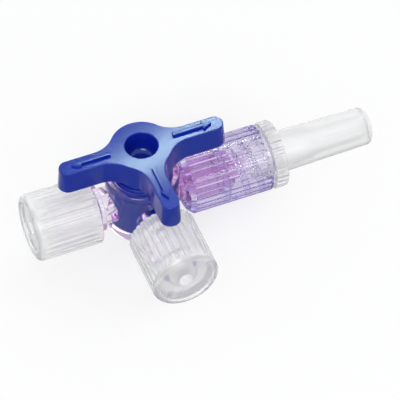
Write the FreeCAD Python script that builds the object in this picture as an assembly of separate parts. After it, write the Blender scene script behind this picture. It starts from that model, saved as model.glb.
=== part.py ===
# Three way stopcock for an infusion line, with its three protective caps on.
# Units are millimetres. +Z is up along the tap axis, and the origin is the centre of the barrel's flat base.
# The main flow line runs along X, with the male cone at +X, and the branch port points along -Y.
import FreeCAD, Part
import math
import os

# Heights on the tap axis
port_height = 5.45          # flow line above the barrel's base
barrel_height = 11.35
floor_thickness = 1.3
handle_underside = 13.5
handle_thickness = 4.25

# Barrel of the housing
barrel_r = 6.05
barrel_bore_r = 4.9
rim_r = 6.2                 # bead round the barrel's open top
rim_height = 1.7
rim_edge_round = 0.3
base_edge_round = 0.4
bore_lead_in = 0.2
snap_height = 10.0          # middle of the ring that keeps the tap in
snap_depth = 0.16
snap_half_width = 0.4

# Flow passages and the 6 percent fittings
flow_r = 1.1
taper = 0.03                # growth of radius per millimetre of a 6 percent cone
seat_clearance = 0.03       # between a seated cone and its socket

# Ports with a tapered socket, one along -X and one along -Y
port_reach = 15.9           # tap axis to the socket's mouth
port_mouth_round = 0.15
port_root = 5.2             # where the ports and the male end start, inside the barrel's wall
port_tube_r = 3.35
port_neck_r = 3.1
port_ring_r = 3.9           # flange that the cap stops short of
port_ring_start = 7.55
port_ring_width = 0.85
socket_mouth_r = 2.15
socket_depth = 8.0
lug_r = 3.9                 # two bayonet lugs at the mouth
lug_width = 1.3
lug_back_slope = 0.4        # length of the sloped back behind a lug
lug_edge = 0.2
lug_angle = 80.0

# Caps on those ports
cap_cover = 7.1             # how far a cap reaches back over its port from the mouth
cap_open_end = port_reach - cap_cover
cap_length = 11.0
cap_crest_r = 5.68
cap_rib_depth = 0.36
cap_rib_count = 32
cap_end_round = 0.9
cap_mouth_r = 4.7
cap_mouth_depth = 2.0
cap_mouth_slope = 0.5       # length over which the mouth narrows to the bore
cap_bore_r = 4.1
cap_end_wall = 2.35
cap_dish_r = 4.6
cap_dish_depth = 0.45
cap_plug_length = 4.6
cap_core_r = 1.15           # blind hole that cores the plug out from outside
cap_core_floor = 0.9
mould_mark_half_long = 1.5  # plain oval in the dish
mould_mark_half_tall = 1.2
mould_mark_depth = 0.15
mould_mark_offset = 2.88    # centre of the dish to the centre of the oval
mould_mark_angle = 232.0

# Male end of the housing, along +X
cone_tip_r = 2.0
cone_tip_round = 0.15
cone_reach = 23.7           # tap axis to the tip
snap_ring_end = 15.0
snap_ring_width = 1.1
snap_ring_r = 3.6
lip_groove_r = 3.05
spindle_r = 3.85            # drum that the collar turns on
spindle_start = 7.1
stem_neck_r = 2.9
stem_flange_width = 0.5

# Turning collar round the male end
collar_start = 6.75
collar_end = 21.6
collar_crest_r = 5.6
collar_rib_depth = 0.2
collar_rib_count = 30
collar_front_round = 0.7
collar_rear_chamfer = 0.75
collar_turn_clearance = 0.2
collar_lip_width = 1.0      # inward lip behind the snap ring, which keeps the collar on
collar_side_clearance = 0.12
lip_groove_width = collar_lip_width + 2 * collar_side_clearance
collar_thread_r = 4.05      # major radius; the fine thread itself is left out here

# Cap on the male cone
male_cap_gap = 0.15         # collar's front face to the flange
male_flange_width = 2.15
male_flange_r = 5.68
male_flange_rib_depth = 0.3
male_flange_rib_count = 32
male_flange_round = 0.45
male_spigot_r = 3.3
male_spigot_length = 3.0
male_tube_root_r = 3.5
male_tube_tip_r = 3.2
male_tube_reach = 40.1      # tap axis to the closed tip
male_tube_round = 1.2
male_step_reach = 29.4      # where the socket steps down to the narrow core
male_core_r = 1.45
male_core_floor = 1.3
male_core_rib_count = 4
male_core_rib_height = 0.45
male_core_rib_width = 0.5
root_recess_r = 4.7         # ring recess round the tube's root
root_recess_depth = 0.7
root_web_count = 14
root_web_width = 0.5

# Tap: plug and three arm handle in one piece
plug_clearance = 0.04       # radial, in the barrel's bore
plug_floor_gap = 0.12
plug_edge = 0.4
plug_shoulder_rise = 0.7    # plug's full radius carries on this far above the rim
neck_r = 4.4
hub_r = 5.12
hub_fillet_r = 4.8
arm_half_width = 1.48
arm_reach = 14.2
handle_draft = 0.25         # growth of the outline from the top face to the underside
handle_edge = 0.2
well_r = 2.68               # blind well in the middle of the hub
well_edge = 0.12
well_depth = 4.0
well_floor_round = 0.5
arm_wall = 0.85
arm_core_depth = 2.9
arm_core_start = 4.7        # tap axis to the near end of an arm's core
arrow_start = 5.4
arrow_tip = 12.2
arrow_head_length = 1.65
arrow_head_half_width = 0.85
arrow_shaft_half_width = 0.34
arrow_height = 0.5
arrow_sink = 0.1            # how far an arrow starts inside the arm

# How the shapes are drawn
large_rounding = 0.5        # from here on a rounding gets two flats
overlap = 0.5               # how far joined blanks reach into each other, and cutters past a face
groove_floor_share = 0.26   # of a rib pitch, for the grooves between ribs
groove_mouth_share = 0.54

X, Y, Z = FreeCAD.Vector(1, 0, 0), FreeCAD.Vector(0, 1, 0), FreeCAD.Vector(0, 0, 1)
ORIGIN = FreeCAD.Vector(0, 0, 0)
FLOW_LINE = FreeCAD.Vector(0, 0, port_height)
RIGHT, LEFT, FRONT = 0.0, 180.0, -90.0    # directions in plan, in degrees from +X


def profile(corners):
    """A closed wire in the XY plane through (x, y, rounding) corners.

    A rounding is drawn as one flat, or as two where it is large; 0 keeps the corner sharp.
    """
    points = []
    for i, (x, y, rounding) in enumerate(corners):
        here = FreeCAD.Vector(x, y, 0)
        if rounding == 0:
            points.append(here)
            continue
        after = corners[(i + 1) % len(corners)]
        back = (FreeCAD.Vector(corners[i - 1][0], corners[i - 1][1], 0) - here).normalize()
        ahead = (FreeCAD.Vector(after[0], after[1], 0) - here).normalize()
        half_angle = back.getAngle(ahead) / 2
        centre = here + (back + ahead).normalize() * (rounding / math.sin(half_angle))
        first = here + back * (rounding / math.tan(half_angle)) - centre
        last = here + ahead * (rounding / math.tan(half_angle)) - centre
        sweep = math.pi - 2 * half_angle
        flats = 1 if rounding < large_rounding else 2
        for step in range(flats + 1):
            turn = sweep * step / flats
            spoke = (first * math.sin(sweep - turn) + last * math.sin(turn)) / math.sin(sweep)
            points.append(centre + spoke)
    return Part.makePolygon(points + points[:1])


def turned(corners):
    """A solid of revolution about X from (distance along, radius, rounding) corners."""
    return Part.Face(profile(corners)).revolve(ORIGIN, X, 360)


def upright(shape):
    """A shape built along X, stood up along Z."""
    stood = shape.copy()
    stood.rotate(ORIGIN, Y, -90)
    return stood


def pointed(shape, direction):
    """A shape built along X at height 0, turned to a direction in plan and lifted to the flow line."""
    placed = shape.copy()
    placed.rotate(ORIGIN, Z, direction)
    placed.translate(FLOW_LINE)
    return placed


def rod(radius, start, end):
    """A plain cylinder on the X axis."""
    return Part.makeCylinder(radius, end - start, X * start, X)


def cone(start_r, end_r, start, end):
    """A plain cone on the X axis."""
    return Part.makeCone(start_r, end_r, end - start, X * start, X)


def ribbed(blank, crest_r, rib_depth, count, start, end):
    """A blank turned about X with straight grooves cut all round: flat topped ribs with sloping flanks."""
    root_r = crest_r - rib_depth
    pitch = 2 * math.pi / count
    half_root = groove_floor_share * pitch / 2
    half_mouth = groove_mouth_share * pitch / 2
    slope = (half_mouth - half_root) / rib_depth
    beyond = crest_r + rib_depth

    def at(radius, angle):
        return FreeCAD.Vector(start, radius * math.cos(angle), radius * math.sin(angle))

    grooves = []
    for i in range(count):
        middle = i * pitch
        half_outer = half_root + slope * (beyond - root_r)
        corners = [
            at(root_r, middle - half_root),
            at(beyond, middle - half_outer),
            at(beyond, middle + half_outer),
            at(root_r, middle + half_root),
        ]
        edges = [
            Part.LineSegment(corners[0], corners[1]).toShape(),
            Part.LineSegment(corners[1], corners[2]).toShape(),
            Part.LineSegment(corners[2], corners[3]).toShape(),
            Part.Arc(corners[3], at(root_r, middle), corners[0]).toShape(),
        ]
        grooves.append(Part.Face(Part.Wire(edges)).extrude(X * (end - start)))
    return blank.cut(grooves)


# Housing: one clear moulding of barrel, two socket ports and the male end

def barrel():
    outside = turned([
        (0, 0, 0),
        (0, barrel_r, base_edge_round),
        (barrel_height - rim_height, barrel_r, 0),
        (barrel_height - rim_height, rim_r, 0),
        (barrel_height, rim_r, rim_edge_round),
        (barrel_height, 0, 0),
    ])
    return upright(outside)


def barrel_bore():
    groove_r = barrel_bore_r + snap_depth
    bore = turned([
        (floor_thickness, 0, 0),
        (floor_thickness, barrel_bore_r, 0),
        (snap_height - snap_half_width, barrel_bore_r, 0),
        (snap_height, groove_r, 0),
        (snap_height + snap_half_width, barrel_bore_r, 0),
        (barrel_height - bore_lead_in, barrel_bore_r, 0),
        (barrel_height, barrel_bore_r + bore_lead_in, 0),
        (barrel_height, 0, 0),
    ])
    return upright(bore)


def port_outside():
    """Outside of one socket port along +X, from inside the barrel's wall to the mouth."""
    ring_end = port_ring_start + port_ring_width
    return turned([
        (port_root, 0, 0),
        (port_root, port_neck_r, 0),
        (port_ring_start, port_neck_r, 0),
        (port_ring_start, port_ring_r, 0),
        (ring_end, port_ring_r, 0),
        (ring_end, port_tube_r, 0),
        (port_reach, port_tube_r, port_mouth_round),
        (port_reach, 0, 0),
    ])


def port_lugs():
    """Two opposite lugs at the mouth, each a slice of a ring with a sloped back."""
    base = port_reach - lug_width - lug_back_slope
    root_r = port_tube_r - overlap
    ring = turned([
        (base, root_r, 0),
        (base, port_tube_r, 0),
        (port_reach - lug_width, lug_r, 0),
        (port_reach, lug_r, lug_edge),
        (port_reach, root_r, 0),
    ])
    lugs = []
    for middle in (0, 180):
        slice_start = math.radians(middle - lug_angle / 2)
        slice_end = math.radians(middle + lug_angle / 2)
        far = 2 * lug_r
        wedge = Part.makePolygon([
            FreeCAD.Vector(base, 0, 0),
            FreeCAD.Vector(base, far * math.cos(slice_start), far * math.sin(slice_start)),
            FreeCAD.Vector(base, far * math.cos(slice_end), far * math.sin(slice_end)),
            FreeCAD.Vector(base, 0, 0),
        ])
        lugs.append(ring.common(Part.Face(wedge).extrude(X * (port_reach - base))))
    return lugs


def port_passage():
    """Tapered socket and the flow passage behind it."""
    socket_floor = port_reach - socket_depth
    socket = cone(socket_mouth_r - taper * socket_depth, socket_mouth_r, socket_floor, port_reach)
    return socket.fuse(rod(flow_r, barrel_bore_r - overlap, socket_floor + overlap))


def male_end():
    """Neck, spindle drum, snap ring and 6 percent cone along +X."""
    groove_end = snap_ring_end - snap_ring_width
    groove_start = groove_end - lip_groove_width
    cone_root_r = cone_tip_r + taper * (cone_reach - snap_ring_end)
    return turned([
        (port_root, 0, 0),
        (port_root, stem_neck_r, 0),
        (spindle_start - stem_flange_width, stem_neck_r, 0),
        (spindle_start, spindle_r, 0),
        (groove_start, spindle_r, 0),
        (groove_start, lip_groove_r, 0),
        (groove_end, lip_groove_r, 0),
        (groove_end, snap_ring_r, 0),
        (snap_ring_end, lip_groove_r, 0),
        (snap_ring_end, cone_root_r, 0),
        (cone_reach, cone_tip_r, cone_tip_round),
        (cone_reach, 0, 0),
    ])


def housing():
    shape = barrel()
    for direction in (LEFT, FRONT):
        shape = shape.fuse(pointed(port_outside(), direction))
        for lug in port_lugs():
            shape = shape.fuse(pointed(lug, direction))
    shape = shape.fuse(pointed(male_end(), RIGHT))
    shape = shape.cut(barrel_bore())
    for direction in (LEFT, FRONT):
        shape = shape.cut(pointed(port_passage(), direction))
    shape = shape.cut(pointed(rod(flow_r, barrel_bore_r - overlap, cone_reach + overlap), RIGHT))
    return shape.removeSplitter()


# Tap: plug, neck and handle, moulded in one

def plug():
    plug_r = barrel_bore_r - plug_clearance
    bottom = floor_thickness + plug_floor_gap
    shoulder = barrel_height + plug_shoulder_rise
    bead_half = snap_half_width - plug_clearance
    body = turned([
        (bottom, 0, 0),
        (bottom, plug_r, plug_edge),
        (snap_height - bead_half, plug_r, 0),
        (snap_height, plug_r + snap_depth, 0),
        (snap_height + bead_half, plug_r, 0),
        (shoulder, plug_r, 0),
        (shoulder, neck_r, 0),
        (handle_underside + overlap, neck_r, 0),
        (handle_underside + overlap, 0, 0),
    ])
    return upright(body)


def handle_outline(grow, height):
    """Plan of the handle: a round hub with three arms, joined by hollow fillets.

    grow offsets the outline all round, and height is its place on the tap axis.
    """
    hub = hub_r + grow
    side = arm_half_width + grow
    fillet = hub_fillet_r - grow
    tip_x = arm_reach - arm_half_width                  # centre of an arm's round tip
    fillet_y = side + fillet
    fillet_x = math.sqrt((hub + fillet) ** 2 - fillet_y ** 2)
    touch = math.atan2(fillet_y, fillet_x)              # where fillet and hub meet, from the arm's axis
    middle = touch / 2 + math.radians(225)              # half way along the fillet, seen from its centre
    middle_x = fillet_x + fillet * math.cos(middle)
    middle_y = fillet_y + fillet * math.sin(middle)

    def on_arm(x, y, turn):
        c, s = math.cos(turn), math.sin(turn)
        return FreeCAD.Vector(x * c - y * s, x * s + y * c, height)

    def on_hub(angle):
        return FreeCAD.Vector(hub * math.cos(angle), hub * math.sin(angle), height)

    edges = []
    arms = [math.radians(direction) for direction in (FRONT, RIGHT, LEFT)]
    for turn, following in zip(arms, arms[1:] + [arms[0] + 2 * math.pi]):
        root = on_arm(fillet_x, -side, turn)
        edges.append(Part.Arc(on_hub(turn - touch), on_arm(middle_x, -middle_y, turn), root).toShape())
        edges.append(Part.LineSegment(root, on_arm(tip_x, -side, turn)).toShape())
        tip = on_arm(tip_x + side, 0, turn)
        edges.append(Part.Arc(on_arm(tip_x, -side, turn), tip, on_arm(tip_x, side, turn)).toShape())
        root = on_arm(fillet_x, side, turn)
        edges.append(Part.LineSegment(on_arm(tip_x, side, turn), root).toShape())
        edges.append(Part.Arc(root, on_arm(middle_x, middle_y, turn), on_hub(turn + touch)).toShape())
        gap = (turn + touch, following - touch)
        edges.append(Part.Arc(on_hub(gap[0]), on_hub(sum(gap) / 2), on_hub(gap[1])).toShape())
    return Part.Wire(edges)


def between(lower_outline, upper_outline):
    """A solid with straight drafted sides between two outlines of the same make."""
    return Part.makeLoft([lower_outline, upper_outline], True, True)


def handle():
    top = handle_underside + handle_thickness
    edge = top - handle_edge
    body = between(handle_outline(handle_draft, handle_underside), handle_outline(0, edge))
    return body.fuse(between(handle_outline(0, edge), handle_outline(-handle_edge, top)))


def arm_cores():
    """Pockets that core the arms out from below, clear of the neck."""
    ceiling = handle_underside + arm_core_depth
    mouth = handle_underside - overlap
    pockets = between(handle_outline(-arm_wall, mouth), handle_outline(-arm_wall, ceiling))
    middle = upright(rod(arm_core_start, mouth - overlap, ceiling + overlap))
    return pockets.cut(middle)


def arrow(direction):
    """A raised arrow on one arm's top face."""
    base = handle_underside + handle_thickness - arrow_sink
    neck = arrow_tip - arrow_head_length
    outline = [
        (arrow_start, -arrow_shaft_half_width),
        (neck, -arrow_shaft_half_width),
        (neck, -arrow_head_half_width),
        (arrow_tip, 0),
        (neck, arrow_head_half_width),
        (neck, arrow_shaft_half_width),
        (arrow_start, arrow_shaft_half_width),
    ]
    points = [FreeCAD.Vector(x, y, base) for x, y in outline]
    shape = Part.Face(Part.makePolygon(points + points[:1])).extrude(Z * (arrow_height + arrow_sink))
    shape.rotate(ORIGIN, Z, direction)
    return shape


def well():
    """Blind well in the top of the hub."""
    top = handle_underside + handle_thickness
    floor = top - well_depth
    return upright(turned([
        (floor, 0, 0),
        (floor, well_r, well_floor_round),
        (top - well_edge, well_r, 0),
        (top, well_r + well_edge, 0),
        (top, 0, 0),
    ]))


def tap():
    shape = plug().fuse(handle()).cut(arm_cores())
    for direction in (LEFT, RIGHT, FRONT):
        shape = shape.fuse(arrow(direction))
        shape = shape.cut(pointed(rod(flow_r, 0, barrel_bore_r + overlap), direction))
    return shape.cut(well()).removeSplitter()


# Turning collar

def collar():
    lip_end = snap_ring_end - snap_ring_width - collar_side_clearance
    lip_start = lip_end - collar_lip_width
    envelope = turned([
        (collar_start, 0, 0),
        (collar_start, collar_crest_r - collar_rear_chamfer, 0),
        (collar_start + collar_rear_chamfer, collar_crest_r, 0),
        (collar_end, collar_crest_r, collar_front_round),
        (collar_end, 0, 0),
    ])
    ribs_start = collar_start + collar_rear_chamfer
    ribs_end = collar_end - collar_front_round
    outside = ribbed(envelope, collar_crest_r, collar_rib_depth, collar_rib_count, ribs_start, ribs_end)
    hollow = turned([
        (collar_start - overlap, 0, 0),
        (collar_start - overlap, spindle_r + collar_turn_clearance, 0),
        (lip_start, spindle_r + collar_turn_clearance, 0),
        (lip_start, lip_groove_r + collar_turn_clearance, 0),
        (lip_end, lip_groove_r + collar_turn_clearance, 0),
        (lip_end, collar_thread_r, 0),
        (collar_end + overlap, collar_thread_r, 0),
        (collar_end + overlap, 0, 0),
    ])
    return outside.cut(hollow)


# Caps on the two socket ports

def port_cap():
    end = cap_open_end + cap_length
    inner_end = end - cap_end_wall
    plug_tip = inner_end - cap_plug_length
    mouth_to_tip = port_reach - plug_tip
    plug_tip_r = socket_mouth_r - taper * mouth_to_tip - seat_clearance
    plug_root_r = plug_tip_r + taper * cap_plug_length
    envelope = turned([
        (cap_open_end, 0, 0),
        (cap_open_end, cap_crest_r, 0),
        (end, cap_crest_r, cap_end_round),
        (end, cap_dish_r, 0),
        (end - cap_dish_depth, cap_dish_r, 0),
        (end - cap_dish_depth, 0, 0),
    ])
    ribs_end = end - cap_end_round
    outside = ribbed(envelope, cap_crest_r, cap_rib_depth, cap_rib_count, cap_open_end - overlap, ribs_end)
    hollow = turned([
        (cap_open_end - overlap, 0, 0),
        (cap_open_end - overlap, cap_mouth_r, 0),
        (cap_open_end + cap_mouth_depth - cap_mouth_slope, cap_mouth_r, 0),
        (cap_open_end + cap_mouth_depth, cap_bore_r, 0),
        (inner_end, cap_bore_r, 0),
        (inner_end, plug_root_r, 0),
        (plug_tip, plug_tip_r, 0),
        (plug_tip, 0, 0),
    ])
    core = turned([
        (plug_tip + cap_core_floor, 0, 0),
        (plug_tip + cap_core_floor, cap_core_r, 0),
        (end + overlap, cap_core_r, 0),
        (end + overlap, 0, 0),
    ])
    return outside.cut(hollow).cut(core)


def mould_mark():
    """A plain shallow oval in the floor of a cap's dish, as a cutter."""
    oval = Part.Ellipse(ORIGIN, mould_mark_half_long, mould_mark_half_tall).toShape()
    cutter = Part.Face(Part.Wire(oval)).extrude(Z * (mould_mark_depth + overlap))
    cutter.rotate(ORIGIN, Z, 90)
    cutter.rotate(ORIGIN, Y, 90)
    angle = math.radians(mould_mark_angle)
    floor = cap_open_end + cap_length - cap_dish_depth - mould_mark_depth
    centre = FreeCAD.Vector(floor, mould_mark_offset * math.cos(angle), mould_mark_offset * math.sin(angle))
    cutter.translate(centre)
    return cutter


# Cap on the male cone

def male_cap():
    flange_start = collar_end + male_cap_gap
    flange_end = flange_start + male_flange_width
    spigot_start = flange_start - male_spigot_length
    envelope = turned([
        (flange_start, 0, 0),
        (flange_start, male_flange_r, 0),
        (flange_end, male_flange_r, male_flange_round),
        (flange_end, 0, 0),
    ])
    flange = ribbed(envelope, male_flange_r, male_flange_rib_depth, male_flange_rib_count,
                    flange_start - overlap, flange_end + overlap)
    tube = turned([
        (spigot_start, 0, 0),
        (spigot_start, male_spigot_r, 0),
        (flange_start + overlap, male_spigot_r, 0),
        (flange_start + overlap, male_tube_root_r, 0),
        (male_tube_reach, male_tube_tip_r, male_tube_round),
        (male_tube_reach, 0, 0),
    ])
    return flange.cut(root_recess(flange_end)).fuse(tube).cut(male_socket(spigot_start))


def root_recess(flange_end):
    """Ring recess round the tube's root, broken by short webs."""
    floor = flange_end - root_recess_depth
    top = flange_end + overlap
    ring = rod(root_recess_r, floor, top).cut(rod(male_tube_root_r, floor, top))
    for i in range(root_web_count):
        corner = FreeCAD.Vector(floor, 0, -root_web_width / 2)
        web = Part.makeBox(root_recess_depth, root_recess_r, root_web_width, corner)
        web.rotate(ORIGIN, X, i * 360 / root_web_count)
        ring = ring.cut(web)
    return ring


def male_socket(mouth):
    """Tapered socket, then a narrower core with inward ribs."""
    cone_r_at_mouth = cone_tip_r + taper * (cone_reach - mouth)
    mouth_r = cone_r_at_mouth + seat_clearance
    step_r = mouth_r - taper * (male_step_reach - mouth)
    core = rod(male_core_r, male_step_reach - overlap, male_tube_reach - male_core_floor)
    for i in range(male_core_rib_count):
        corner = FreeCAD.Vector(0, male_core_r - male_core_rib_height, -male_core_rib_width / 2)
        rib = Part.makeBox(male_tube_reach, male_core_rib_height, male_core_rib_width, corner)
        rib.rotate(ORIGIN, X, (i + 0.5) * 360 / male_core_rib_count)
        core = core.cut(rib)
    return cone(mouth_r, step_r, mouth, male_step_reach).fuse(core)


def main():
    os.makedirs("parts", exist_ok=True)
    cap = port_cap().cut(mould_mark())
    nodes = {
        "ported_housing": housing(),
        "tap_with_handle": tap(),
        "turning_collar": pointed(collar(), RIGHT),
        "side_port_cap": pointed(cap, LEFT),
        "branch_port_cap": pointed(cap, FRONT),
        "male_cone_cap": pointed(male_cap(), RIGHT),
    }
    for name, shape in nodes.items():
        shape.exportStep(f"parts/{name}.step")
        print(name, "solids", len(shape.Solids), "valid", shape.isValid(), "volume", round(shape.Volume, 1))


main()
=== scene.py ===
import math

import bpy
import numpy as np
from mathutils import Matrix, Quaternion, Vector


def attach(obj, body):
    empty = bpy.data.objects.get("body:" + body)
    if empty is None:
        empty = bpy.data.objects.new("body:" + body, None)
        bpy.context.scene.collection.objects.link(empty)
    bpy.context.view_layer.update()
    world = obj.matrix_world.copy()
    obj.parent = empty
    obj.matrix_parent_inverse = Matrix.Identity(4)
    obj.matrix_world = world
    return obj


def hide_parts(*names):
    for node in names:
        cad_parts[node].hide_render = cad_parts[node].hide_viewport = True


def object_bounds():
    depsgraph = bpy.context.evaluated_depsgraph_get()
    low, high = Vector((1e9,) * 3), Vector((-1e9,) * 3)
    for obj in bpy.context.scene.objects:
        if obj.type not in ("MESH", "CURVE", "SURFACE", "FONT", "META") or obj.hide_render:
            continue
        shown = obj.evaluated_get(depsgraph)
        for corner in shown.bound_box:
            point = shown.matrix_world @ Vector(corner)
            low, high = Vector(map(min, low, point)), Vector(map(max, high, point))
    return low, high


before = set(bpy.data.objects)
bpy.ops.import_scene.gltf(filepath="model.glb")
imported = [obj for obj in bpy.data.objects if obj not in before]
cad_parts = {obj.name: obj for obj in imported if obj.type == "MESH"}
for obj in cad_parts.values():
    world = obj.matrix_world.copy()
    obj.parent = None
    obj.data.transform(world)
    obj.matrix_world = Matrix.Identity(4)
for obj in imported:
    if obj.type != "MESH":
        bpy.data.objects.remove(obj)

cad_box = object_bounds()

# The housing: one clear moulding of violet-tinted polycarbonate, injection moulded and polished.
# It holds the tap in an upright barrel, with two socket ports with lugs, and the male cone along +X.
# Lengths are in millimetres, the barrel stands on z = 0, and the ports and the cone lie at port_height.
MM = 0.001
RIGHT, LEFT, FRONT = 0.0, 180.0, -90.0
crisp_edge = 0.06
fine_edge = 0.1
plain_edge = 0.12
soft_edge = 0.15
wide_edge = 0.2
full_edge = 0.25
overcut = 0.5
taper = 0.03
port_height = 5.45
barrel_height = 11.35
barrel_r = 6.05
barrel_base_round = 0.4
barrel_bore_r = 4.9
floor_thickness = 1.3
rim_r = 6.2
rim_height = 1.7
rim_round = 0.35
snap_height = 10.0
snap_depth = 0.16
snap_half_width = 0.4
bore_lead_in = 0.2
bore_mouth_round = 0.05
flow_r = 1.1
passage_root = 4.2
port_root = 5.2
port_reach = 15.9
port_tube_r = 3.35
port_neck_r = 3.1
port_ring_r = 3.9
port_ring_start = 7.55
port_ring_end = 8.4
socket_mouth_r = 2.15
socket_depth = 8.0
lug_r = 3.9
lug_width = 1.3
lug_back_slope = 0.4
lug_angle = 80.0
lug_overlap = 0.3
stem_neck_r = 2.9
spindle_r = 3.85
spindle_start = 7.1
stem_flange_width = 0.5
snap_ring_r = 3.6
snap_ring_width = 1.1
snap_ring_end = 15.0
lip_groove_r = 3.05
lip_groove_width = 1.24
cone_tip_r = 2.0
cone_reach = 23.7
most_bends = 5
most_mirrors = 3
mould_relief = 0.05
drum_tint_span = 20.0
drum_tint = ((5.0, "#ffffff"), (5.8, "#e2bae6"), (16.4, "#e2bae6"), (18.4, "#ffffff"))


def rounded(corners, steps=6):
    """Points of an open profile through (along, radius, rounding) corners.

    A rounding is an arc that touches both sides: its centre lies on the corner's bisector, at the
    rounding divided by the sine of half the corner's angle.
    """
    places = np.array([corner[:2] for corner in corners], float)
    points = []
    for i, (along, radius, rounding) in enumerate(corners):
        here = places[i]
        if rounding == 0:
            points.append(here)
            continue
        back = places[i - 1] - here
        ahead = places[i + 1] - here
        back /= np.linalg.norm(back)
        ahead /= np.linalg.norm(ahead)
        half_angle = math.acos(np.clip(back @ ahead, -1, 1)) / 2
        bisector = (back + ahead) / np.linalg.norm(back + ahead)
        centre = here + bisector * rounding / math.sin(half_angle)
        first = here + back * rounding / math.tan(half_angle) - centre
        last = here + ahead * rounding / math.tan(half_angle) - centre
        sweep = math.pi - 2 * half_angle
        turn = np.linspace(0, sweep, steps + 1)[:, None]
        points.extend(centre + (first * np.sin(sweep - turn) + last * np.sin(turn)) / math.sin(sweep))
    return np.array(points)


def finer(profile, longest, detailed=None, step=None):
    """The profile with more points on its long sides, evenly spaced, so that none is longer than a length.

    detailed tells, from the along and radius of the sides' middles, which sides take the shorter step.
    """
    limits = np.full(len(profile) - 1, longest)
    if detailed:
        middle = (profile[:-1] + profile[1:]) / 2
        limits[detailed(middle[:, 0], middle[:, 1])] = step
    pieces = []
    for start, end, limit in zip(profile[:-1], profile[1:], limits):
        count = max(1, math.ceil(np.linalg.norm(end - start) / limit))
        pieces.append(start + (end - start) * np.arange(count)[:, None] / count)
    return np.vstack(pieces + [profile[-1:]])


def spun(profile, segments, start=0.0, end=360.0, shape=None):
    """Grid of points of a profile turned about X: at angle t, (along, radius) goes to
    (along, radius cos t, radius sin t). shape may change along and radius by their place and angle."""
    whole = end - start >= 360
    turn = np.radians(np.linspace(start, end, segments + 1)[:segments + (not whole)])
    along = np.repeat(profile[:, :1], len(turn), 1)
    radius = np.repeat(profile[:, 1:], len(turn), 1)
    if shape:
        along, radius = shape(along, radius, turn[None, :])
    return np.stack([along, radius * np.cos(turn), radius * np.sin(turn)], -1)


def pointed(points, direction):
    """Points built along X, turned about Z to a direction in plan and lifted to the ports' height."""
    c, s = math.cos(math.radians(direction)), math.sin(math.radians(direction))
    x, y, z = np.moveaxis(points, -1, 0)
    return np.stack([x * c - y * s, x * s + y * c, z + port_height], -1)


def upright(points):
    """Points built along X, stood up along Z."""
    x, y, z = np.moveaxis(points, -1, 0)
    return np.stack([-z, y, x], -1)


def solid(name, points, rows_close=False, columns_close=True):
    """A closed mesh from a grid of points in millimetres: four-sided faces between neighbours, and one
    flat face over each end that doesn't close on itself. It is turned inside out if its volume,
    the sum over its faces of each one's signed cone to the origin, is below zero."""
    index = np.arange(points.shape[0] * points.shape[1]).reshape(points.shape[:2])
    grid = index
    if rows_close:
        grid = np.vstack([grid, grid[:1]])
    if columns_close:
        grid = np.hstack([grid, grid[:, :1]])
    quads = np.stack([grid[:-1, :-1], grid[:-1, 1:], grid[1:, 1:], grid[1:, :-1]], -1).reshape(-1, 4)
    faces = quads.tolist()
    if not rows_close:
        faces += [index[0, ::-1].tolist(), index[-1].tolist()]
    if not columns_close:
        faces += [index[:, 0].tolist(), index[::-1, -1].tolist()]
    flat = points.reshape(-1, 3)
    a, b, c, d = (flat[quads[:, i]] for i in range(4))
    volume = np.einsum("ij,ij->", a, np.cross(b, c) + np.cross(c, d))
    if volume < 0:
        faces = [face[::-1] for face in faces]
    mesh = bpy.data.meshes.new(name)
    mesh.from_pydata((flat * MM).tolist(), [], faces)
    piece = bpy.data.objects.new(name, mesh)
    bpy.context.scene.collection.objects.link(piece)
    return piece


def carved(piece, joined=(), cut=()):
    """The piece with other solids joined on and then cut away, which are used up by it."""
    steps = [("UNION", other) for other in joined] + [("DIFFERENCE", other) for other in cut]
    for operation, other in steps:
        modifier = piece.modifiers.new(operation.lower(), "BOOLEAN")
        modifier.operation = operation
        modifier.object = other
        modifier.solver = "EXACT"
    graph = bpy.context.evaluated_depsgraph_get()
    made = bpy.data.meshes.new_from_object(piece.evaluated_get(graph))
    piece.modifiers.clear()
    piece.data = made
    for _, other in steps:
        bpy.data.objects.remove(other)
    return piece


def finished(piece, material, body, node, sharp=32.0):
    """Smooth shading up to a crease angle, a material, and a place on a body in a node's stead."""
    piece.data.shade_smooth()
    piece.data.set_sharp_from_angle(angle=math.radians(sharp))
    weighted = piece.modifiers.new("weighted_normals", "WEIGHTED_NORMAL")
    weighted.keep_sharp = True
    piece.data.materials.clear()
    piece.data.materials.append(material)
    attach(piece, body)
    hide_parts(node)
    return piece


def linear(hex_colour, alpha=1.0):
    """An sRGB hex colour as linear red, green, blue and alpha."""
    srgb = np.array([int(hex_colour[i:i + 2], 16) for i in (1, 3, 5)]) / 255
    value = np.where(srgb <= 0.04045, srgb / 12.92, ((srgb + 0.055) / 1.055) ** 2.4)
    return (*value.tolist(), alpha)


def empty_tree(holder):
    """The node tree of a new material or world, with nothing in it."""
    holder.use_nodes = True
    holder.node_tree.nodes.clear()
    return holder.node_tree


def add_node(tree, kind, values=None, links=None, **settings):
    """Adds a node: settings are its properties, values its sockets' constants, links its sockets' sources."""
    added = tree.nodes.new(kind)
    for name, value in settings.items():
        setattr(added, name, value)
    for name, value in (values or {}).items():
        added.inputs[name].default_value = value
    for name, source in (links or {}).items():
        tree.links.new(source, added.inputs[name])
    return added


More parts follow.
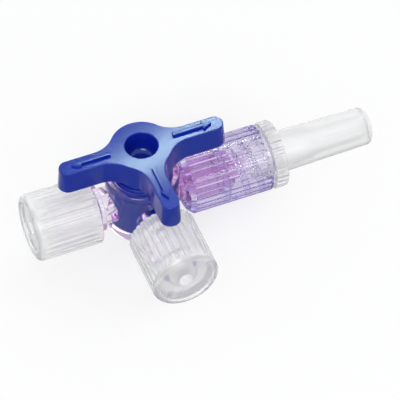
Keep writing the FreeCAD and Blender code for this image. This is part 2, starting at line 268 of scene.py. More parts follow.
def see_through(tree, shader):
    """The shader of a clear plastic, with a plain clear one in its place for light on its way to a surface,
    and for rays that have already been bent or reflected several times inside the object."""
    ray = add_node(tree, "ShaderNodeLightPath").outputs
    straight = ray["Is Shadow Ray"]
    others = [ray["Is Diffuse Ray"]]
    for depth, most in (("Transmission Depth", most_bends), ("Glossy Depth", most_mirrors)):
        past = add_node(tree, "ShaderNodeMath", {1: most}, {0: ray[depth]}, operation="GREATER_THAN")
        others.append(past.outputs[0])
    for other in others:
        either = add_node(tree, "ShaderNodeMath", links={0: straight, 1: other}, operation="MAXIMUM")
        straight = either.outputs[0]
    clear = add_node(tree, "ShaderNodeBsdfTransparent").outputs[0]
    return add_node(tree, "ShaderNodeMixShader", links={0: straight, 1: shader, 2: clear}).outputs[0]


def clear_plastic(name, finish, wave_width, wave_detail, wave_strength, tint, density, colour=None):
    """Material of a clear moulding, from its shader's values. Waves of a width in millimetres give the
    skin the faint unevenness of a mould, and the tint deepens with thickness at a density per metre.
    colour may make the surface's own colour from the node tree and the place on the piece."""
    material = bpy.data.materials.new(name)
    tree = empty_tree(material)
    place = add_node(tree, "ShaderNodeTexCoord").outputs["Object"]
    wave = add_node(tree, "ShaderNodeTexNoise", {"Scale": 1 / (wave_width * MM), "Detail": wave_detail}, {
        "Vector": place,
    })
    bump = add_node(tree, "ShaderNodeBump", {"Strength": wave_strength, "Distance": mould_relief * MM}, {
        "Height": wave.outputs["Fac"],
    })
    shader = add_node(tree, "ShaderNodeBsdfPrincipled", finish, {"Normal": bump.outputs["Normal"]})
    if colour:
        tree.links.new(colour(tree, place), shader.inputs["Base Color"])
    inside = add_node(tree, "ShaderNodeVolumeAbsorption", {"Color": linear(tint), "Density": density})
    add_node(tree, "ShaderNodeOutputMaterial", links={
        "Surface": see_through(tree, shader.outputs[0]), "Volume": inside.outputs[0],
    })
    return material


def drum_colour(tree, place):
    """White, with a pink tint along the drum under the collar, by the distance along X."""
    along = add_node(tree, "ShaderNodeSeparateXYZ", links={"Vector": place}).outputs["X"]
    share = add_node(tree, "ShaderNodeMapRange", {"From Min": 0.0, "From Max": drum_tint_span * MM}, {
        "Value": along,
    })
    ramp = add_node(tree, "ShaderNodeValToRGB", links={"Fac": share.outputs["Result"]})
    stops = ramp.color_ramp.elements
    while len(stops) < len(drum_tint):
        stops.new(0.5)
    for stop, (at, hex_colour) in zip(stops, drum_tint):
        stop.position = at / drum_tint_span
        stop.color = linear(hex_colour)
    return ramp.outputs["Color"]


def tinted_polycarbonate():
    """Clear violet-tinted polycarbonate from a polished mould: sharp gloss, bright bent edges, and a
    violet that deepens with thickness and turns pinker on the drum."""
    finish = {"Roughness": 0.01, "IOR": 1.585, "Transmission Weight": 1.0}
    return clear_plastic("tinted_polycarbonate", finish, 2.5, 2.0, 0.02, "#c04cd6", 46.0, drum_colour)


def barrel():
    """A profile turned about Z: a plain wall from a rounded base, and a wider rim at the top."""
    inner_r = 3
    rim_start = barrel_height - rim_height
    profile = rounded([
        (0, inner_r, 0), (0, barrel_r, barrel_base_round),
        (rim_start, barrel_r, crisp_edge), (rim_start, rim_r, crisp_edge),
        (barrel_height, rim_r, rim_round), (barrel_height, inner_r, 0),
    ])
    return solid("housing", upright(spun(finer(profile, longest=2.0), segments=256)))


def barrel_bore():
    """A profile turned about Z: the bore, with the snap groove and a sloped lead-in at its mouth."""
    inner_r = 2
    above = barrel_height + 2 * overcut
    mouth_r = barrel_bore_r + bore_lead_in
    profile = rounded([
        (floor_thickness, inner_r, 0), (floor_thickness, barrel_bore_r, full_edge),
        (snap_height - snap_half_width, barrel_bore_r, fine_edge),
        (snap_height, barrel_bore_r + snap_depth, fine_edge),
        (snap_height + snap_half_width, barrel_bore_r, fine_edge),
        (barrel_height - bore_lead_in, barrel_bore_r, bore_mouth_round),
        (barrel_height, mouth_r, 0), (above, mouth_r, 0), (above, inner_r, 0),
    ])
    return solid("bore", upright(spun(finer(profile, longest=2.0), segments=256)))


def port(direction):
    """A profile turned about the port's line: a neck, a ring, and the plain tube to the mouth."""
    inner_r = 1.5
    profile = rounded([
        (port_root, inner_r, 0), (port_root, port_neck_r, 0), (port_ring_start, port_neck_r, soft_edge),
        (port_ring_start, port_ring_r, plain_edge), (port_ring_end, port_ring_r, plain_edge),
        (port_ring_end, port_tube_r, plain_edge), (port_reach, port_tube_r, soft_edge),
        (port_reach, inner_r, 0),
    ])
    return solid("port", pointed(spun(finer(profile, longest=1.5), segments=160), direction))


def lug(direction, middle):
    """A slice of a ring on the port's mouth: a profile with a sloped back, turned by the lug's angle."""
    base = port_reach - lug_width - lug_back_slope
    root_r = port_tube_r - lug_overlap
    profile = rounded([
        (base, root_r, 0), (base, port_tube_r, fine_edge), (port_reach - lug_width, lug_r, soft_edge),
        (port_reach, lug_r, full_edge), (port_reach, root_r, 0),
    ])
    points = spun(profile, 24, middle - lug_angle / 2, middle + lug_angle / 2)
    return solid("lug", pointed(points, direction), rows_close=True, columns_close=False)


def socket(direction):
    """A profile turned about the port's line: the flow passage, and a socket that widens by the taper."""
    inner_r = 0.5
    floor = port_reach - socket_depth
    beyond = port_reach + overcut
    profile = rounded([
        (passage_root, inner_r, 0), (passage_root, flow_r, 0), (floor, flow_r, soft_edge),
        (floor, socket_mouth_r - taper * socket_depth, fine_edge), (port_reach, socket_mouth_r, 0),
        (beyond, socket_mouth_r + taper, 0), (beyond, inner_r, 0),
    ])
    return solid("socket", pointed(spun(finer(profile, longest=1.5), segments=128), direction))


def male_end():
    """A profile turned about X: neck, drum, the collar's groove, the sloped snap ring and the cone."""
    groove_end = snap_ring_end - snap_ring_width
    groove_start = groove_end - lip_groove_width
    cone_root_r = cone_tip_r + taper * (cone_reach - snap_ring_end)
    profile = rounded([
        (port_root, 1, 0), (port_root, stem_neck_r, 0),
        (spindle_start - stem_flange_width, stem_neck_r, wide_edge), (spindle_start, spindle_r, soft_edge),
        (groove_start, spindle_r, plain_edge), (groove_start, lip_groove_r, fine_edge),
        (groove_end, lip_groove_r, fine_edge), (groove_end, snap_ring_r, fine_edge),
        (snap_ring_end, lip_groove_r, fine_edge), (snap_ring_end, cone_root_r, soft_edge),
        (cone_reach, cone_tip_r, wide_edge), (cone_reach, 0.5, 0),
    ])
    return solid("male_end", pointed(spun(finer(profile, longest=1.5), segments=160), RIGHT))


def round_way(name, start, end, direction, segments):
    """A plain cylinder of the flow's radius along a port's line, which cuts a flow passage."""
    inner_r = 0.3
    profile = np.array([(start, inner_r), (start, flow_r), (end, flow_r), (end, inner_r)])
    return solid(name, pointed(spun(finer(profile, longest=2.0), segments), direction))


housing = carved(
    barrel(),
    joined=[port(LEFT), port(FRONT), male_end()] + [lug(d, m) for d in (LEFT, FRONT) for m in (0, 180)],
    cut=[barrel_bore(), socket(LEFT), socket(FRONT),
         round_way("passage", passage_root, cone_reach + overcut, RIGHT, 96)],
)
finished(housing, tinted_polycarbonate(), "housing", "ported_housing")

# The tap: plug, neck and three-arm handle, one moulding of opaque blue polyethylene.
# The plug turns in the barrel and snaps under its rim, and the arms are cored out from below.
# Raised arrows on the arms show which ways are open, and a blind well runs down the hub.
handle_underside = 13.5
handle_thickness = 4.25
handle_top = handle_underside + handle_thickness
plug_contact = 0.02
plug_floor_gap = 0.12
plug_edge = 0.4
plug_shoulder_rise = 0.7
neck_r = 4.4
neck_overlap = 1.0
hub_r = 5.12
hub_fillet_r = 4.8
arm_half_width = 1.48
arm_reach = 14.2
handle_draft = 0.25
handle_edge = 0.2
handle_lower_edge = 0.08
well_r = 2.68
well_edge = 0.2
well_depth = 4.0
well_floor_round = 1.2
arm_wall = 0.85
arm_core_depth = 2.9
arm_core_start = 4.7
arm_core_round = 0.3
arrow_start = 5.4
arrow_tip = 12.2
arrow_head_length = 1.65
arrow_head_half_width = 0.85
arrow_shaft_half_width = 0.34
arrow_height = 0.5
arrow_root = 0.3
arrow_edge = 0.1


def plug():
    """A profile turned about Z: the plug with its snap bead, and the thinner neck into the hub."""
    inner_r = 2
    plug_r = barrel_bore_r + plug_contact
    bottom = floor_thickness + plug_floor_gap
    shoulder = barrel_height + plug_shoulder_rise
    top = handle_underside + neck_overlap
    profile = rounded([
        (bottom, inner_r, 0), (bottom, plug_r, plug_edge), (snap_height - snap_half_width, plug_r, fine_edge),
        (snap_height, plug_r + snap_depth, fine_edge), (snap_height + snap_half_width, plug_r, fine_edge),
        (shoulder, plug_r, plain_edge), (shoulder, neck_r, plain_edge), (top, neck_r, 0), (top, inner_r, 0),
    ])
    return solid("tap", upright(spun(finer(profile, longest=2.0), segments=224)))


def handle_outline(grow):
    """Plan of the handle as points, grown outwards by a distance. Each arm in turn gives a hollow fillet
    that touches hub and arm, a straight side, a round tip, the other side and fillet, and then the hub's
    arc to the next arm. A fillet's centre lies where its circle touches both the hub and the arm's side."""
    hub = hub_r + grow
    side = arm_half_width + grow
    fillet = hub_fillet_r - grow
    fillet_y = side + fillet
    fillet_x = math.sqrt((hub + fillet) ** 2 - fillet_y ** 2)
    touch = math.atan2(fillet_y, fillet_x)
    tip_x = arm_reach - arm_half_width
    bend = np.linspace(math.pi + touch, 1.5 * math.pi, 15)
    straight = np.linspace(fillet_x, tip_x, 7)[1:-1]
    tip = np.linspace(math.pi / 2, 0, 13)
    upper = np.vstack([
        np.stack([fillet_x + fillet * np.cos(bend), fillet_y + fillet * np.sin(bend)], -1),
        np.stack([straight, np.full(len(straight), side)], -1),
        np.stack([tip_x + side * np.cos(tip), side * np.sin(tip)], -1),
    ])
    arm = np.vstack([upper * (1, -1), upper[-2::-1]])
    arms = [math.radians(direction) for direction in (FRONT, RIGHT, LEFT)]
    points = []
    for turn, following in zip(arms, arms[1:] + [arms[0] + 2 * math.pi]):
        c, s = math.cos(turn), math.sin(turn)
        points.append(arm @ np.array([[c, s], [-s, c]]))
        count = 10 if following - turn < 2 else 40
        gap = np.linspace(turn + touch, following - touch, count)[1:-1]
        points.append(hub * np.stack([np.cos(gap), np.sin(gap)], -1))
    return np.vstack(points)


def level(plan, height):
    """The points of a plan at one height."""
    return np.column_stack([plan, np.full(len(plan), height)])


def stacked(rings):
    """Grid of points of handle outlines, one for each (height, grow) pair."""
    return np.stack([level(handle_outline(grow), height) for height, grow in rings])


def handle():
    """Outlines stacked from the underside to the top: they shrink evenly by the draft on the way up, and
    follow a quarter circle in height and growth at the lower and at the upper edge."""
    turn = np.linspace(0, math.pi / 2, 8)
    lower = [(handle_underside + handle_lower_edge * (1 - math.sin(t)),
              handle_draft - handle_lower_edge * (1 - math.cos(t))) for t in turn[::-1]]
    upper = [(handle_top - handle_edge * (1 - math.sin(t)), -handle_edge * (1 - math.cos(t))) for t in turn]
    start, end = lower[-1][0], upper[0][0]
    walls = [(start + (end - start) * w, handle_draft * (1 - w)) for w in np.linspace(0, 1, 6)[1:-1]]
    return solid("handle", stacked(lower + walls + upper))


def arm_cores():
    """Pockets under the arms: the outline shrunk by a wall's width, less a cylinder round the neck."""
    ceiling = handle_underside + arm_core_depth
    pockets = solid("cores", stacked([
        (handle_underside - overcut, -arm_wall), (ceiling - arm_core_round, -arm_wall),
        (ceiling - fine_edge, -arm_wall - fine_edge), (ceiling, -arm_wall - arm_core_round),
    ]))
    low = handle_underside - 2 * overcut
    high = ceiling + 2 * overcut
    profile = np.array([(low, 1), (low, arm_core_start), (high, arm_core_start), (high, 1)])
    return carved(pockets, cut=[solid("middle", upright(spun(profile, segments=128)))])


def arrow(direction):
    """A raised arrow: its outline drawn straight up, with its edges bevelled."""
    neck = arrow_tip - arrow_head_length
    half = [
        (arrow_start, arrow_shaft_half_width), (neck, arrow_shaft_half_width), (neck, arrow_head_half_width),
    ]
    outline = np.array([(x, -y) for x, y in half] + [(arrow_tip, 0)] + half[::-1])
    c, s = math.cos(math.radians(direction)), math.sin(math.radians(direction))
    plan = outline @ np.array([[c, s], [-s, c]])
    points = np.stack([level(plan, handle_top - arrow_root), level(plan, handle_top + arrow_height)])
    made = solid("arrow", points)
    bevel = made.modifiers.new("edge", "BEVEL")
    bevel.width = arrow_edge * MM
    bevel.segments = 4
    return made


def well():
    """A profile turned about Z: a rounded floor, a plain wall, and a quarter circle that flares out."""
    inner_r = 0.5
    floor = handle_top - well_depth
    above = handle_top + 2 * overcut
    bottom = rounded([(floor, inner_r, 0), (floor, well_r, well_floor_round), (handle_top, well_r, 0)])[:-1]
    flare = np.linspace(0, math.pi / 2, 7)
    lip = np.stack([
        handle_top - well_edge + well_edge * np.sin(flare), well_r + well_edge * (1 - np.cos(flare)),
    ], -1)
    upper = np.array([(above, well_r + well_edge), (above, inner_r)])
    profile = finer(np.vstack([bottom, lip, upper]), longest=3.0)
    return solid("well", upright(spun(profile, segments=160)))


def blue_polyethylene():
    """Opaque blue high-density polyethylene from a fine mould: waxy gloss, soft at its reflections' edges.
    Its pigment varies over millimetres, and the mould's grain is drawn coarse enough to show."""
    cloud_width = 6
    grain_width = 0.35
    material = bpy.data.materials.new("blue_polyethylene")
    tree = empty_tree(material)
    place = add_node(tree, "ShaderNodeTexCoord").outputs["Object"]
    cloud = add_node(tree, "ShaderNodeTexNoise", {"Scale": 1 / (cloud_width * MM), "Detail": 3.0}, {
        "Vector": place,
    })
    colour = add_node(tree, "ShaderNodeValToRGB", links={"Fac": cloud.outputs["Fac"]})
    for stop, at, hex_colour in zip(colour.color_ramp.elements, (0.3, 0.7), ("#0c219e", "#142ba9")):
        stop.position = at
        stop.color = linear(hex_colour)
    grain = add_node(tree, "ShaderNodeTexNoise", {"Scale": 1 / (grain_width * MM), "Detail": 2.0}, {
        "Vector": place,
    })
    gloss = add_node(tree, "ShaderNodeMapRange", {
        "From Min": 0.3, "From Max": 0.7, "To Min": 0.07, "To Max": 0.1,
    }, {"Value": grain.outputs["Fac"]})
    bump = add_node(tree, "ShaderNodeBump", {"Strength": 0.05, "Distance": 0.02 * MM}, {
        "Height": grain.outputs["Fac"],
    })
    shader = add_node(tree, "ShaderNodeBsdfPrincipled", {"IOR": 1.54, "Specular Tint": linear("#d2fbf0")}, {
        "Base Color": colour.outputs["Color"],
        "Roughness": gloss.outputs["Result"],
        "Normal": bump.outputs["Normal"],
    })
    add_node(tree, "ShaderNodeOutputMaterial", links={"Surface": shader.outputs[0]})
    return material


ways = (LEFT, RIGHT, FRONT)
tap = carved(
    plug(),
    joined=[carved(handle(), cut=[arm_cores()])] + [arrow(d) for d in ways],
    cut=[well()] + [round_way("way", 0.0, barrel_bore_r + overcut, d, 64) for d in ways],
)
finished(tap, blue_polyethylene(), "tap", "tap_with_handle")

# The turning collar: clear polycarbonate with fine grip ribs, moulded and snapped over the male end.
# Its inward lip turns between the drum and the snap ring, and a double start thread inside its front
# half draws a mating socket onto the cone.
collar_start = 6.75
collar_end = 21.6
collar_crest_r = 5.6
collar_rib_depth = 0.2
collar_rib_count = 30
collar_rib_points = 14
collar_rib_run_out = 0.2
collar_front_round = 0.7
collar_rear_chamfer = 0.75
collar_turn_clearance = 0.2
collar_lip_width = 1.0
collar_side_clearance = 0.12
collar_thread_r = 4.05
collar_thread_run = (14.5, 15.2, 20.4, 21.2)
bore_tolerance = 0.02
thread_height = 0.4
thread_lead = 5.08
thread_starts = 2
thread_crest_share = 0.2
thread_flank_share = 0.22
groove_floor_share = 0.26
groove_mouth_share = 0.54


def rise(value, low, high):
    """0 below low and 1 above high, with a smooth cubic step between them."""
    share = np.clip((value - low) / (high - low), 0, 1)
    return share * share * (3 - 2 * share)


def grooves(turn, count):
    """Depth of the grooves between ribs, 0 on a rib's crest to 1 on a groove's floor, by the angle."""
    phase = np.abs((turn * count / (2 * math.pi) + 0.5) % 1 - 0.5) * 2
    return 1 - rise(phase, groove_floor_share, groove_mouth_share)


def thread(along, turn, run):
    """Height of a right-hand thread from 0 to 1: a ridge that advances by its lead in each turn. run gives
    the places along the axis where the ridge starts, is whole, begins to fade and has ended."""
    phase = np.abs((thread_starts * (along / thread_lead - turn / (2 * math.pi))) % 1 - 0.5) * 2
    ridge = 1 - rise(phase, thread_crest_share, thread_crest_share + thread_flank_share)
    return ridge * rise(along, run[0], run[1]) * (1 - rise(along, run[2], run[3]))


def collar_surface(along, radius, turn):
    """Grip grooves cut the outside to a limit, and the thread stands inwards from the bore's front half."""
    ribs_start = collar_start + collar_rear_chamfer
    ribs_end = collar_end - collar_front_round
    length = rise(along, ribs_start, ribs_start + collar_rib_run_out)
    length = length * (1 - rise(along, ribs_end - collar_rib_run_out, ribs_end))
    limit = collar_crest_r - collar_rib_depth * grooves(turn, collar_rib_count) * length
    outside = radius > collar_thread_r + thread_height
    radius = np.where(outside, np.minimum(radius, limit), radius)
    bore = np.abs(radius - collar_thread_r) < bore_tolerance
    return along, np.where(bore, radius - thread_height * thread(along, turn, collar_thread_run), radius)


def collar():
    """A closed profile turned about X: a chamfered rear, the outside, a rounded front, and inside it the
    thread's bore, the inward lip and the bore over the drum. Its surface adds grooves and the thread."""
    rib_end_margin = 0.3
    lip_end = snap_ring_end - snap_ring_width - collar_side_clearance
    lip_start = lip_end - collar_lip_width
    lip_r = lip_groove_r + collar_turn_clearance
    drum_r = spindle_r + collar_turn_clearance
    corners = rounded([
        (collar_start, drum_r, 0), (collar_start, collar_crest_r - collar_rear_chamfer, soft_edge),
        (collar_start + collar_rear_chamfer, collar_crest_r, wide_edge),
        (collar_start + collar_rear_chamfer + rib_end_margin, collar_crest_r, 0),
        (collar_end - collar_front_round - rib_end_margin, collar_crest_r, 0),
        (collar_end, collar_crest_r, collar_front_round), (collar_end, collar_thread_r, plain_edge),
        (lip_end, collar_thread_r, fine_edge), (lip_end, lip_r, fine_edge), (lip_start, lip_r, fine_edge),
        (lip_start, drum_r, fine_edge), (collar_start, drum_r, 0),
    ])

    def on_thread(along, radius):
        return np.abs(radius - collar_thread_r) < bore_tolerance

    profile = finer(corners, longest=0.5, detailed=on_thread, step=0.12)[:-1]
    points = spun(profile, collar_rib_count * collar_rib_points, shape=collar_surface)
    return solid("collar", pointed(points, RIGHT), rows_close=True)


def clear_polycarbonate():
    """Clear polycarbonate with a breath of lavender, polished: bright edges, sharp reflections."""
    finish = {"Base Color": linear("#ffffff"), "Roughness": 0.01, "IOR": 1.585, "Transmission Weight": 1.0}
    return clear_plastic("clear_polycarbonate", finish, 2.0, 2.0, 0.015, "#a084d8", 150.0)


finished(collar(), clear_polycarbonate(), "collar", "turning_collar")

# The two port caps: clear polypropylene, moulded with grip ribs, each screwed over a socket port.
# A tapered plug, cored out from the dished end, closes the socket.
cap_cover = 7.1
cap_length = 11.0
cap_open_end = port_reach - cap_cover
cap_end = cap_open_end + cap_length
cap_crest_r = 5.68
cap_rib_depth = 0.36
cap_rib_count = 32
cap_rib_points = 12
cap_rib_fade = 0.15
cap_rib_overrun = 0.05
cap_end_round = 0.9
cap_mouth_r = 4.7
cap_mouth_depth = 2.0
cap_mouth_slope = 0.5
cap_bore_r = 4.1
cap_bore_round = 0.4
cap_end_wall = 2.35
cap_dish_r = 4.6
cap_dish_depth = 0.45
cap_plug_length = 4.6
cap_core_r = 1.15
cap_core_floor = 0.9
seat_clearance = 0.03
floor_tolerance = 0.01
cap_thread_height = 0.42
cap_thread_run = (10.9, 11.3, 13.5, 14.0)
mark_half_long = 1.5
mark_half_tall = 1.2
mark_depth = 0.15
mark_edge_share = 0.88
mark_offset = 2.88
mark_angle = 232.0


def cap_surface(along, radius, turn):
    """Grip grooves cut the outside to a limit, a short thread stands inwards behind the lugs, and in the
    dish the floor sinks where a place's distance from the oval's middle, over its half axes, is below 1."""
    ribs_end = cap_end - cap_end_round
    length = 1 - rise(along, ribs_end - cap_rib_fade, ribs_end + cap_rib_overrun)
    limit = cap_crest_r - cap_rib_depth * grooves(turn, cap_rib_count) * length
    outside = radius > cap_mouth_r + bore_tolerance
    radius = np.where(outside, np.minimum(radius, limit), radius)
    bore = np.abs(radius - cap_bore_r) < bore_tolerance
    radius = np.where(bore, radius - cap_thread_height * thread(along, turn, cap_thread_run), radius)
    centre = math.radians(mark_angle)
    across = radius * np.cos(turn) - mark_offset * math.cos(centre)
    up = radius * np.sin(turn) - mark_offset * math.sin(centre)
    inside = np.hypot(up / mark_half_tall, across / mark_half_long)
    dish = np.abs(along - (cap_end - cap_dish_depth)) < floor_tolerance
    sunk = mark_depth * (1 - rise(inside, mark_edge_share, 1.0))
    return np.where(dish, along - sunk, along), radius


def port_cap(name, direction):
    """A profile turned about the port's line, from the plug's core over the dish and the ribbed outside to
    the open end, and back through the bore to the tapered plug. Its surface adds grooves and a thread."""
    inner_r = 0.3
    inner_end = cap_end - cap_end_wall
    plug_tip = inner_end - cap_plug_length
    plug_tip_r = socket_mouth_r - taper * (port_reach - plug_tip) - seat_clearance
    plug_root_r = plug_tip_r + taper * cap_plug_length
    core_floor = plug_tip + cap_core_floor
    dish = cap_end - cap_dish_depth
    mouth_end = cap_open_end + cap_mouth_depth
    corners = rounded([
        (core_floor, inner_r, 0), (core_floor, cap_core_r, wide_edge), (dish, cap_core_r, plain_edge),
        (dish, cap_dish_r, wide_edge), (cap_end, cap_dish_r, soft_edge),
        (cap_end, cap_crest_r, cap_end_round), (cap_open_end, cap_crest_r, soft_edge),
        (cap_open_end, cap_mouth_r, soft_edge),
        (mouth_end - cap_mouth_slope, cap_mouth_r, fine_edge), (mouth_end, cap_bore_r, fine_edge),
        (inner_end, cap_bore_r, cap_bore_round), (inner_end, plug_root_r, full_edge),
        (plug_tip, plug_tip_r, wide_edge), (plug_tip, inner_r, 0),
    ])

    def on_thread_or_dish(along, radius):
        return (np.abs(radius - cap_bore_r) < bore_tolerance) | (np.abs(along - dish) < floor_tolerance)

    profile = finer(corners, longest=0.6, detailed=on_thread_or_dish, step=0.16)
    points = spun(profile, cap_rib_count * cap_rib_points, shape=cap_surface)
    return solid(name, pointed(points, direction))


def clear_polypropylene():
    """Clarified polypropylene: nearly colourless, with a faint haze that turns thick places grey-white."""
    finish = {"Base Color": linear("#ffffff"), "Roughness": 0.05, "IOR": 1.49, "Transmission Weight": 0.71}
    return clear_plastic("clarified_polypropylene", finish, 1.6, 3.0, 0.02, "#d4dcc8", 5.0)


cap_material = clear_polypropylene()
finished(port_cap("side_cap", LEFT), cap_material, "side_cap", "side_port_cap")
finished(port_cap("branch_cap", FRONT), cap_material, "branch_cap", "branch_port_cap")

# The long cap on the male cone: milky polypropylene, moulded with a fluted flange and a closed tube.
# Its spigot reaches into the collar, and its ribbed core keeps the wall even.
male_cap_gap = 0.15
male_flange_width = 2.15
male_flange_start = collar_end + male_cap_gap
male_flange_end = male_flange_start + male_flange_width
male_flange_r = 5.68
male_flange_rib_depth = 0.3
male_flange_rib_count = 32
male_flange_round = 0.45
male_spigot_r = 3.3
male_spigot_length = 3.0
male_tube_root_r = 3.5
male_tube_tip_r = 3.2
male_tube_reach = 40.1
male_tube_round = 1.2
male_step_reach = 29.4
male_core_r = 1.45
male_core_floor = 1.3
male_core_round = 0.3
male_core_rib_count = 4
male_core_rib_height = 0.45
male_core_rib_width = 0.5
male_core_rib_flank = 0.08
male_core_rib_start = 29.6
male_core_rib_full = 30.0
root_recess_r = 4.7
root_recess_depth = 0.7
root_recess_middle_r = 4.1
root_web_count = 14
root_web_points = 32
root_web_width = 0.5
root_web_top_flank = 0.1
root_web_foot_flank = 0.05
root_web_sink = 0.02


def male_cap_surface(along, radius, turn):
    """Flutes cut the flange's edge to a limit. Webs lift the recess's floor where the arc's length to a
    web's middle is small, and ribs stand inwards in the core where that to a rib's middle is small."""
    limit = male_flange_r - male_flange_rib_depth * grooves(turn, male_flange_rib_count)
    flange = radius > root_recess_r + wide_edge
    radius = np.where(flange, np.minimum(radius, limit), radius)
    recess_floor = male_flange_end - root_recess_depth
    pitch = 2 * math.pi / root_web_count
    off_web = np.abs((turn + pitch / 2) % pitch - pitch / 2) * root_recess_middle_r
    half_web = root_web_width / 2
    web = 1 - rise(off_web, half_web - root_web_top_flank, half_web + root_web_foot_flank)
    recess = (along > recess_floor - floor_tolerance) & (along < male_flange_end - floor_tolerance)
    recess = recess & (radius < root_recess_r + floor_tolerance) & (radius > male_tube_tip_r)
    along = np.where(recess, along + (male_flange_end - root_web_sink - along) * web, along)
    quarter = 2 * math.pi / male_core_rib_count
    off_rib = np.abs(turn % quarter - quarter / 2) * male_core_r
    half_rib = male_core_rib_width / 2
    rib = 1 - rise(off_rib, half_rib - male_core_rib_flank, half_rib + male_core_rib_flank)
    height = male_core_rib_height * rib * rise(along, male_core_rib_start, male_core_rib_full)
    core = (radius < male_core_r + floor_tolerance) & (radius > 1.0)
    return along, np.where(core, radius - height, radius)


def male_cap():
    """A profile turned about X, from the closed tip over the tube, the recess, the flange and the spigot,
    and back through the tapered seat, the step and the core. Its surface adds flutes, webs and ribs."""
    spigot_start = male_flange_start - male_spigot_length
    recess_floor = male_flange_end - root_recess_depth
    mouth_r = cone_tip_r + taper * (cone_reach - spigot_start) + seat_clearance
    step_r = mouth_r - taper * (male_step_reach - spigot_start)
    core_end = male_tube_reach - male_core_floor
    rib_middle = (male_core_rib_start + male_core_rib_full) / 2
    corners = rounded([
        (male_tube_reach, 0.5, 0), (male_tube_reach, male_tube_tip_r, male_tube_round),
        (recess_floor, male_tube_root_r, plain_edge), (recess_floor, root_recess_r, plain_edge),
        (male_flange_end, root_recess_r, plain_edge), (male_flange_end, male_flange_r, male_flange_round),
        (male_flange_start, male_flange_r, wide_edge), (male_flange_start, male_spigot_r, plain_edge),
        (spigot_start, male_spigot_r, full_edge), (spigot_start, mouth_r, wide_edge),
        (male_step_reach, step_r, fine_edge), (male_step_reach, male_core_r, plain_edge),
        (male_core_rib_start, male_core_r, 0), (rib_middle, male_core_r, 0),
        (male_core_rib_full, male_core_r, 0), (core_end, male_core_r, male_core_round), (core_end, 0.3, 0),
    ])

    def near_flange(along, radius):
        return along < male_flange_end + overcut

    profile = finer(corners, longest=1.0, detailed=near_flange, step=0.25)
    points = spun(profile, root_web_count * root_web_points, shape=male_cap_surface)
    return solid("male_cap", pointed(points, RIGHT))


def milky_polypropylene():
    """Natural polypropylene: translucent and slightly milky, with a satin gloss from the mould."""
    finish = {"Base Color": linear("#ffffff"), "Roughness": 0.2, "IOR": 1.49, "Transmission Weight": 0.72}
    return clear_plastic("milky_polypropylene", finish, 1.8, 3.0, 0.02, "#ccccc8", 40.0)


finished(male_cap(), milky_polypropylene(), "male_cap", "male_cone_cap")

# The studio: a plain white floor under the caps' lowest ribs, soft light, and the photograph's camera.
# Places here are in metres. Reflections see less of the floor's glow in front of the object than behind it.
floor_height = min(cad_box[0][2], 0.0)
floor_half_width = 3.0
floor_glow = 0.65
floor_reflection_front = -0.008
floor_reflection_back = 0.012
floor_reflection_least = 0.15
world_light = 0.68
sky_start = 0.18
camera_azimuth = -21.92
camera_elevation = 50.21
camera_distance = 0.7
camera_target = Vector((0.010, -0.003, 0.00815))
pixels_per_mm = 6.119
image_size = 400
target_pixel = (205.63, 178.80)


def seen_rays(tree, reflected=None):
    """1 for rays from the camera and for those that clear plastic sends on, 0 for light, and for
    reflections 1 or what the given socket says."""
    ray = add_node(tree, "ShaderNodeLightPath").outputs
    seen = ray["Is Glossy Ray"]
    if reflected:
        shared = add_node(tree, "ShaderNodeMath", links={0: seen, 1: reflected}, operation="MULTIPLY")
        seen = shared.outputs[0]
    for name in ("Is Camera Ray", "Is Transmission Ray"):
        seen = add_node(tree, "ShaderNodeMath", links={0: seen, 1: ray[name]}, operation="MAXIMUM").outputs[0]
    return seen


def floor_material():
    """White studio floor: some matt paint that takes the shadow, and a glow that only the camera,
    reflections and clear plastic see, so that it shows white without lighting the object from below."""
    material = bpy.data.materials.new("white_floor")
    tree = empty_tree(material)
    place = add_node(tree, "ShaderNodeTexCoord").outputs["Object"]
    depth = add_node(tree, "ShaderNodeSeparateXYZ", links={"Vector": place}).outputs["Y"]
    reflected = add_node(tree, "ShaderNodeMapRange", {
        "From Min": floor_reflection_front, "From Max": floor_reflection_back,
        "To Min": floor_reflection_least, "To Max": 1.0,
    }, {"Value": depth}).outputs["Result"]
    seen = seen_rays(tree, reflected)
    strength = add_node(tree, "ShaderNodeMapRange", {"To Min": 0.0, "To Max": floor_glow}, {"Value": seen})
    paint = add_node(tree, "ShaderNodeBsdfDiffuse", {"Color": linear("#9c9c9c")})
    glow = add_node(tree, "ShaderNodeEmission", {"Color": linear("#ffffff")}, {
        "Strength": strength.outputs["Result"],
    })
    both = add_node(tree, "ShaderNodeAddShader", links={0: paint.outputs[0], 1: glow.outputs[0]})
    add_node(tree, "ShaderNodeOutputMaterial", links={"Surface": both.outputs[0]})
    return material


def floor():
    """A flat square under the object, its four corners at the same distance along X and Y."""
    half = floor_half_width
    corners = [(x * half, y * half, floor_height) for x, y in ((-1, -1), (1, -1), (1, 1), (-1, 1))]
    mesh = bpy.data.meshes.new("floor")
    mesh.from_pydata(corners, [], [(0, 1, 2, 3)])
    plane = bpy.data.objects.new("floor", mesh)
    plane.data.materials.append(floor_material())
    bpy.context.scene.collection.objects.link(plane)


def softbox(name, place, width, height, power, turn=0.0):
    """A rectangular lamp at a place in metres that faces the handle, turned about the way it faces."""
    light = bpy.data.lights.new(name, "AREA")
    light.shape = "RECTANGLE"
    light.size = width
    light.size_y = height
    light.energy = power
    lamp = bpy.data.objects.new(name, light)
    lamp.location = place
    facing = (camera_target - Vector(place)).to_track_quat("-Z", "Y")
    lamp.rotation_mode = "QUATERNION"
    lamp.rotation_quaternion = facing @ Quaternion((0, 0, 1), math.radians(turn))
    bpy.context.scene.collection.objects.link(lamp)


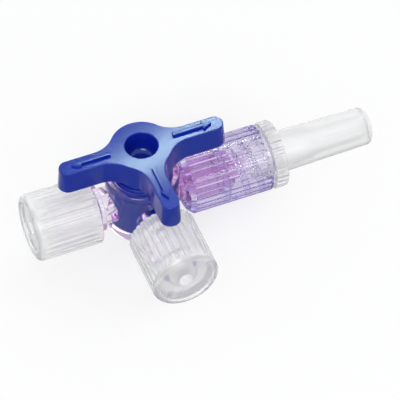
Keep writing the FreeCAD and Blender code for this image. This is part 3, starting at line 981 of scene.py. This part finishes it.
def studio_world():
    """Pale surroundings with a greyer horizon. The camera, reflections and clear plastic see them at full
    strength, and they light the object at a plain level."""
    world = bpy.data.worlds.new("studio")
    tree = empty_tree(world)
    direction = add_node(tree, "ShaderNodeTexCoord").outputs["Generated"]
    height = add_node(tree, "ShaderNodeSeparateXYZ", links={"Vector": direction}).outputs["Z"]
    ramp = add_node(tree, "ShaderNodeValToRGB", links={"Fac": height})
    for stop, at, hex_colour in zip(ramp.color_ramp.elements, (0.0, sky_start), ("#6c6e76", "#fafbfd")):
        stop.position = at
        stop.color = linear(hex_colour)
    seen = seen_rays(tree)
    strength = add_node(tree, "ShaderNodeMapRange", {"To Min": world_light, "To Max": 1.0}, {"Value": seen})
    background = add_node(tree, "ShaderNodeBackground", links={
        "Color": ramp.outputs["Color"], "Strength": strength.outputs["Result"],
    })
    add_node(tree, "ShaderNodeOutputWorld", links={"Surface": background.outputs[0]})
    bpy.context.scene.world = world


def camera():
    """The camera stands back from its target by the distance, on the line at the azimuth and elevation.
    Its lens gives the photograph's pixels per millimetre, and its shift puts the target on its pixel."""
    a, e = math.radians(camera_azimuth), math.radians(camera_elevation)
    away = Vector((math.sin(a) * math.cos(e), -math.cos(a) * math.cos(e), math.sin(e)))
    data = bpy.data.cameras.new("camera")
    data.sensor_width = 36.0
    data.lens = pixels_per_mm * camera_distance / MM * data.sensor_width / image_size
    data.shift_x = (image_size / 2 - target_pixel[0]) / image_size
    data.shift_y = (target_pixel[1] - image_size / 2) / image_size
    data.clip_start = 0.05
    data.clip_end = 20.0
    viewer = bpy.data.objects.new("camera", data)
    viewer.location = camera_target + away * camera_distance
    viewer.rotation_mode = "QUATERNION"
    viewer.rotation_quaternion = (-away).to_track_quat("-Z", "Y")
    bpy.context.scene.collection.objects.link(viewer)
    bpy.context.scene.camera = viewer


floor()
studio_world()
softbox("front_softbox", place=(-0.45, -0.60, 0.75), width=0.5, height=0.5, power=4.0)
softbox("back_softbox", place=(0.55, 0.25, 0.60), width=0.4, height=0.4, power=1.2)
softbox("highlight_strip", place=(0.0796, 0.1904, 0.261), width=0.045, height=0.0045, power=0.0135, turn=30.6)
softbox("edge_softbox", place=(0.17, -0.60, 0.46), width=0.14, height=0.14, power=0.22)
camera()
bpy.context.scene.view_settings.view_transform = "Standard"
